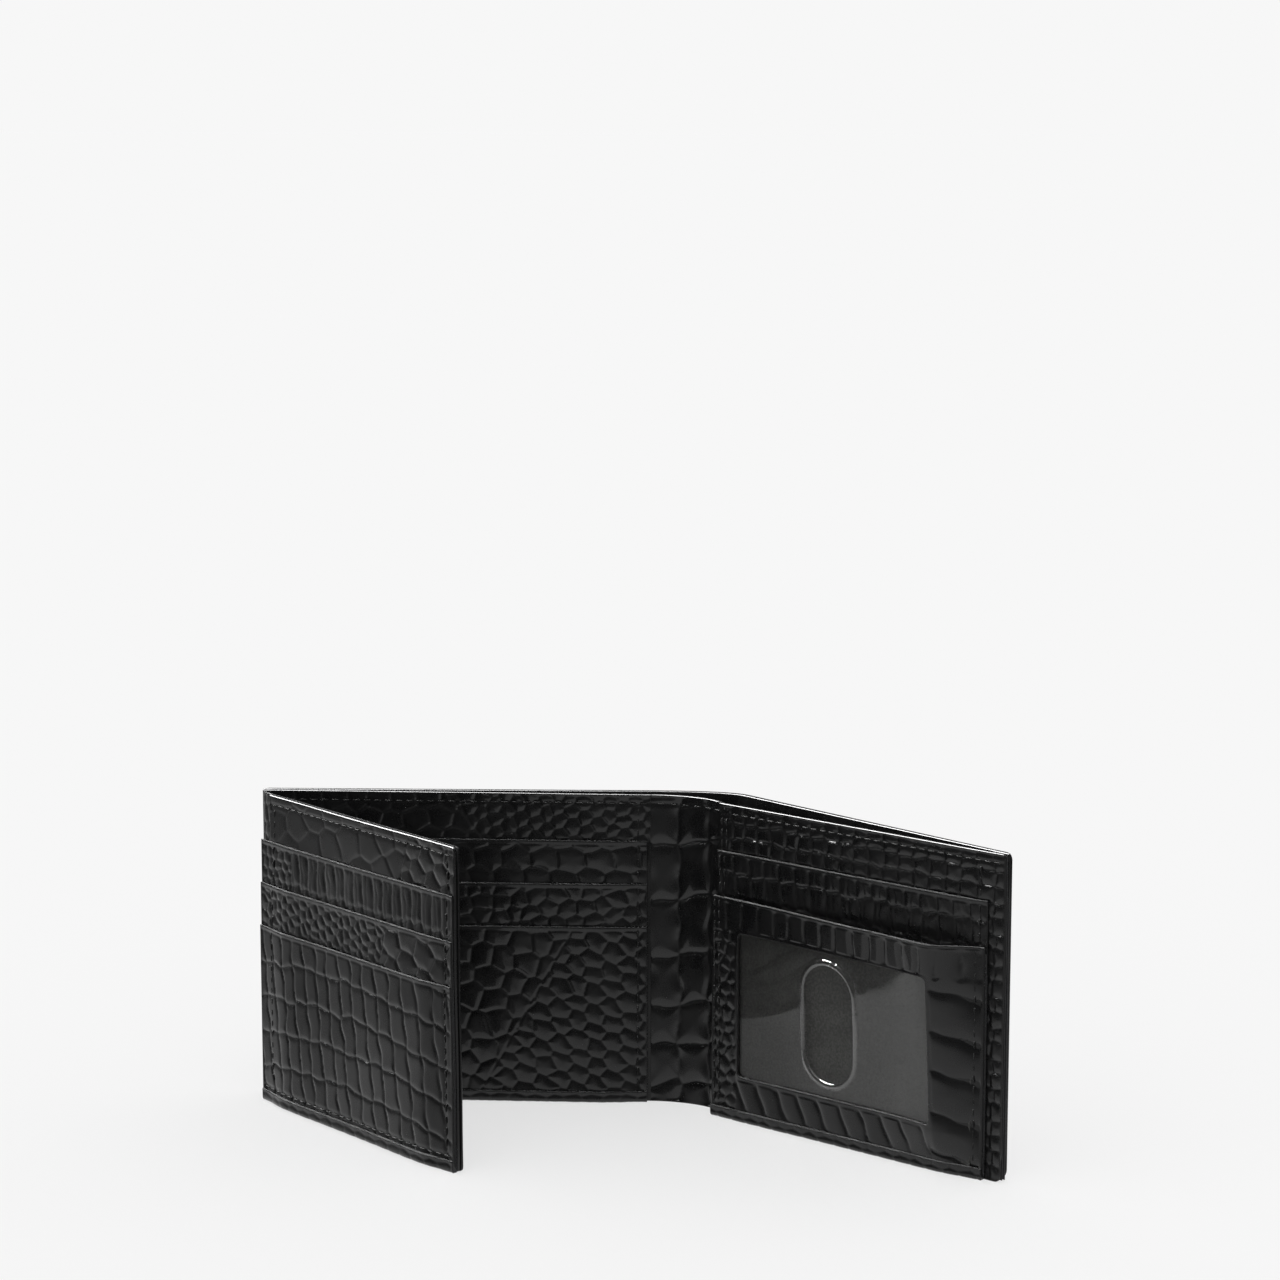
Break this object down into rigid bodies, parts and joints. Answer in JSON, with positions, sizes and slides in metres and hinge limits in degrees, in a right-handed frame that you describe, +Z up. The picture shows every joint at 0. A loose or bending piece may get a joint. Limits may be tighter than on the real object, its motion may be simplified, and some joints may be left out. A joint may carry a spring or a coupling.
{
  "type": "wallet",
  "caption": "Open billfold wallet in glossy reptile-grain leather: two panels joined by a spine, a hinged card leaf, card slots, bill compartment and clear window pocket.",
  "frame": {"origin": "middle of the bottom edge of the left panel's inner leather, half way through its thickness", "axes": "+Z up, +X along the left panel towards the spine, +Y away from the reader, towards the back of the left panel"},
  "size_m": [0.2098, 0.0756, 0.089],
  "materials": {
    "shell_leather": "glossy embossed leather",
    "inside_leather": "glossy embossed leather",
    "lining_fabric": "twill lining",
    "stiffener_board": "matte",
    "black_thread": "waxed thread",
    "clear_film": "clear gloss",
    "insert_paper": "uncoated"
  },
  "bodies": {
    "left_panel": {"shell_left": "shell_leather", "shell_facing_left": "inside_leather", "shell_lining_left": "lining_fabric", "shell_stitching_left": "black_thread", "liner_left": "inside_leather", "stiffener_left": "stiffener_board", "bill_lining_left": "lining_fabric", "left_pocket_upper": "inside_leather", "left_pocket_middle": "inside_leather", "left_pocket_front": "inside_leather", "left_slot_lining_upper": "lining_fabric", "left_slot_lining_middle": "lining_fabric", "left_bottom_hem": "inside_leather", "left_stitching": "black_thread"},
    "spine": {"shell_spine": "shell_leather", "shell_facing_spine": "inside_leather", "shell_lining_spine": "lining_fabric", "liner_spine": "inside_leather", "bill_lining_spine": "lining_fabric", "spine_stitching": "black_thread"},
    "right_panel": {"shell_right": "shell_leather", "shell_facing_right": "inside_leather", "shell_lining_right": "lining_fabric", "shell_stitching_right": "black_thread", "liner_right": "inside_leather", "stiffener_right": "stiffener_board", "bill_lining_right": "lining_fabric", "right_card_pocket": "inside_leather", "right_slot_lining": "lining_fabric", "window_backing": "lining_fabric", "window_film": "clear_film", "window_frame": "inside_leather", "right_bottom_hem": "inside_leather", "right_stitching": "black_thread"},
    "insert": {"insert_card": "insert_paper"},
    "wing_hinge": {"wing_hinge_strip": "inside_leather"},
    "wing": {"wing_back": "shell_leather", "wing_stiffener": "stiffener_board", "wing_liner": "inside_leather", "wing_pocket_upper": "inside_leather", "wing_pocket_middle": "inside_leather", "wing_pocket_front": "inside_leather", "wing_slot_lining_upper": "lining_fabric", "wing_slot_lining_middle": "lining_fabric", "wing_bottom_hem": "inside_leather", "wing_stitching": "black_thread"}
  },
  "joints": [
    {"name": "spine_fold", "type": "hinge", "parent": "left_panel", "child": "spine", "pos_m": [0.055, -0.00035, 0.0445], "axis": [0, 0, -1], "range_deg": [-16.5, 64], "deforming": ["shell_spine", "shell_facing_spine", "shell_lining_spine"]},
    {"name": "right_fold", "type": "hinge", "parent": "spine", "child": "right_panel", "pos_m": [0.07361, -0.00942, 0.0445], "axis": [0, 0, -1], "range_deg": [-20.5, 79.5]},
    {"name": "wing_swing", "type": "hinge", "parent": "left_panel", "child": "wing_hinge", "pos_m": [-0.0553, -0.00095, 0.0445], "axis": [0, 0, -1], "range_deg": [0, 134]},
    {"name": "wing_fold", "type": "hinge", "parent": "wing_hinge", "child": "wing", "pos_m": [-0.05169, -0.00469, 0.0445], "axis": [0, 0, 1], "range_deg": [-12, 46.5]},
    {"name": "insert_slide", "type": "slide", "parent": "right_panel", "child": "insert", "axis": [0, 0, 1], "range_m": [0, 0.06]}
  ],
  "couplings": [
    {"joint": "right_fold", "follows": "spine_fold", "ratio": 1.235},
    {"joint": "wing_fold", "follows": "spine_fold", "ratio": 0.72}
  ]
}
